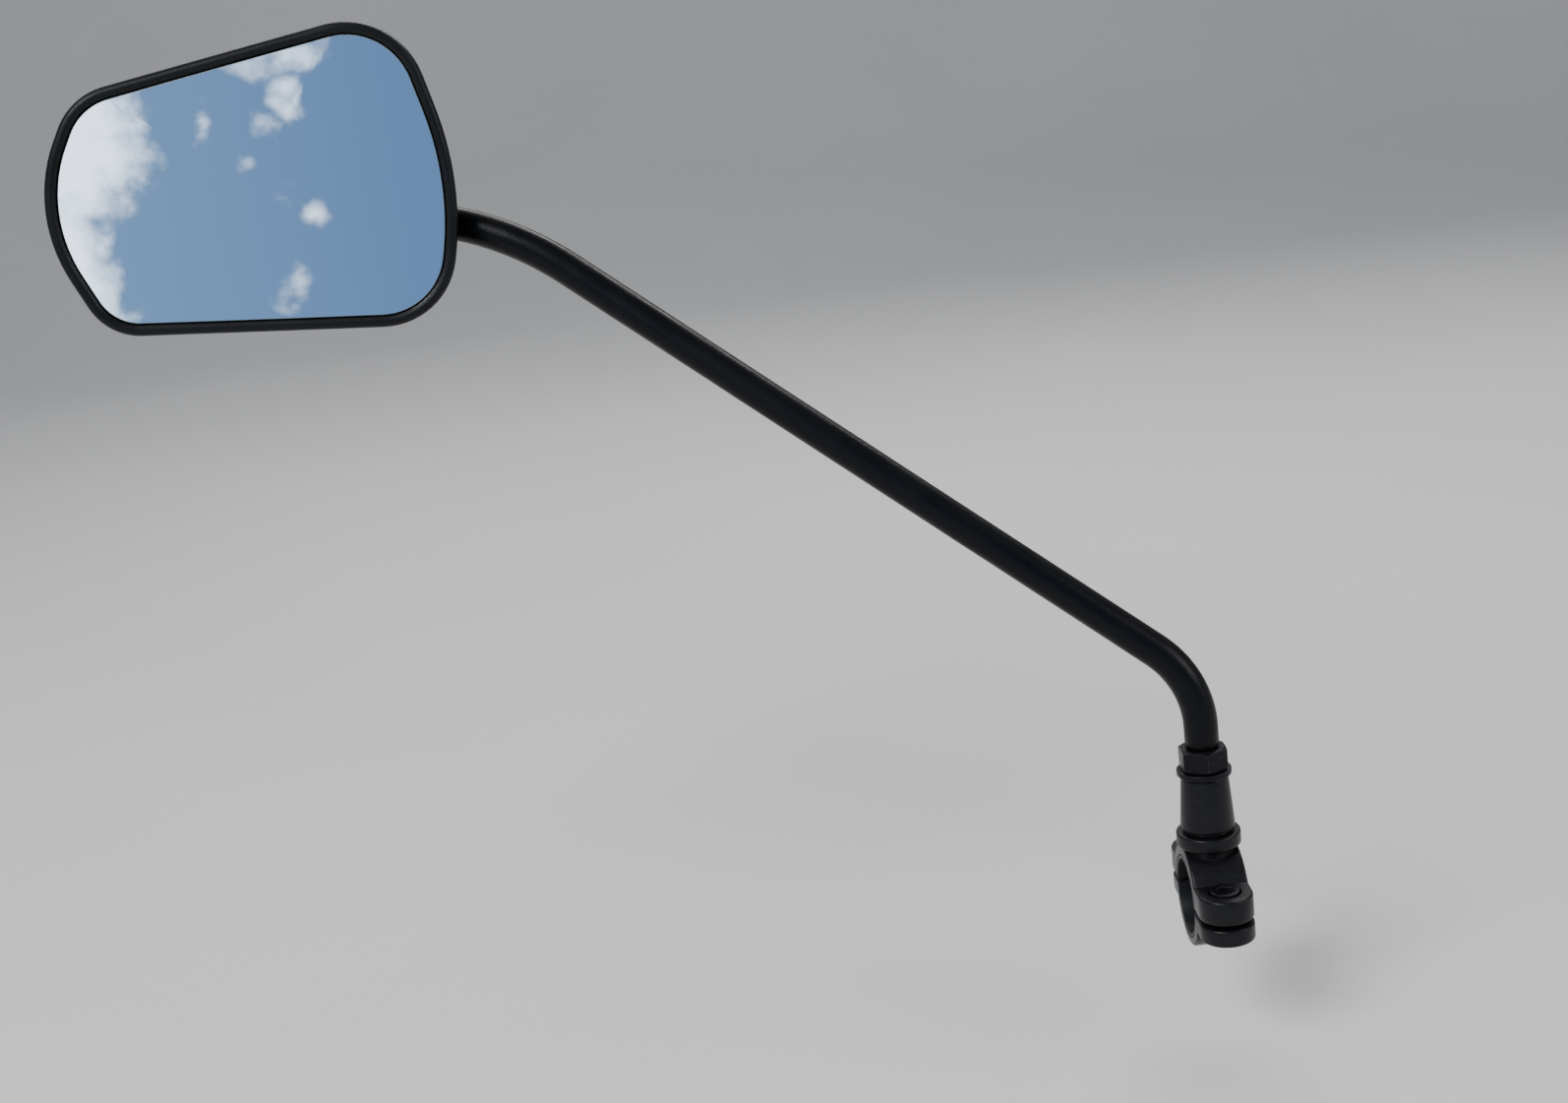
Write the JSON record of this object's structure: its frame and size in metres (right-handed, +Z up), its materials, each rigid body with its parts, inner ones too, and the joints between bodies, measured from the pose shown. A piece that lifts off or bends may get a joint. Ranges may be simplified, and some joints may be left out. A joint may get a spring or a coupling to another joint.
{
  "type": "handlebar mirror",
  "caption": "Left-hand handlebar mirror for a bicycle: two-half bar clamp with a boss, bent steel rod and a convex mirror head on a ball joint.",
  "frame": {"origin": "on the handlebar's axis, at the middle of the clamp's width", "axes": "+X along the handlebar towards the middle of the bicycle, +Y in the riding direction (the glass faces the rider, -Y), +Z up along the rod's threaded foot"},
  "size_m": [0.3173, 0.0905, 0.2933],
  "materials": {
    "black_paint": "satin black powder coat on steel",
    "black_alloy": "satin black anodised",
    "black_steel": "black zinc plated",
    "bright_steel": "bright zinc plated",
    "black_plastic": "satin black, fine moulded grain",
    "nylon": "natural nylon",
    "butyl": "black butyl adhesive",
    "mirror_silver": "silvered convex glass with a ground edge"
  },
  "bodies": {
    "clamp": {"clamp_upper": "black_alloy", "shim_upper": "black_plastic", "clamp_screw_front": "black_steel", "clamp_screw_rear": "black_steel", "boss_washer": "black_steel", "mirror_boss": "black_alloy", "rod_washer": "black_steel"},
    "clamp_cap": {"clamp_lower": "black_alloy", "shim_lower": "black_plastic"},
    "rod": {"mirror_rod": "black_paint", "lock_nut": "black_steel"},
    "ball": {"ball": "bright_steel"},
    "liner": {"liner_front": "nylon", "liner_rear": "nylon"},
    "head": {"rim": "black_plastic", "mirror_glass": "mirror_silver", "adhesive_sheet": "butyl", "back_shell": "black_plastic", "cup_cover": "black_plastic", "cover_screw_1": "bright_steel", "cover_screw_2": "bright_steel", "cover_screw_3": "bright_steel"}
  },
  "joints": [
    {"name": "clamp_cap_release", "type": "slide", "parent": "clamp", "child": "clamp_cap", "axis": [0, 0, -1], "range_m": [0, 0.024]},
    {"name": "rod_swivel", "type": "hinge", "parent": "clamp", "child": "rod", "pos_m": [0, 0, 0.0379], "axis": [0, 0, 1], "range_deg": [-90, 90]},
    {"name": "head_tilt", "type": "hinge", "parent": "rod", "child": "ball", "pos_m": [-0.20643, 0.05531, 0.21998], "axis": [0.9257, -0.248, -0.2857], "range_deg": [-30, 30]},
    {"name": "head_pan", "type": "hinge", "parent": "ball", "child": "liner", "pos_m": [-0.20643, 0.05531, 0.21998], "axis": [0.0823, 0.0451, 0.9956], "range_deg": [-15, 15]},
    {"name": "head_roll", "type": "hinge", "parent": "liner", "child": "head", "pos_m": [-0.20643, 0.05531, 0.21998], "axis": [-0.1218, 0.9919, -0.0349], "range_deg": [-15, 15]}
  ]
}
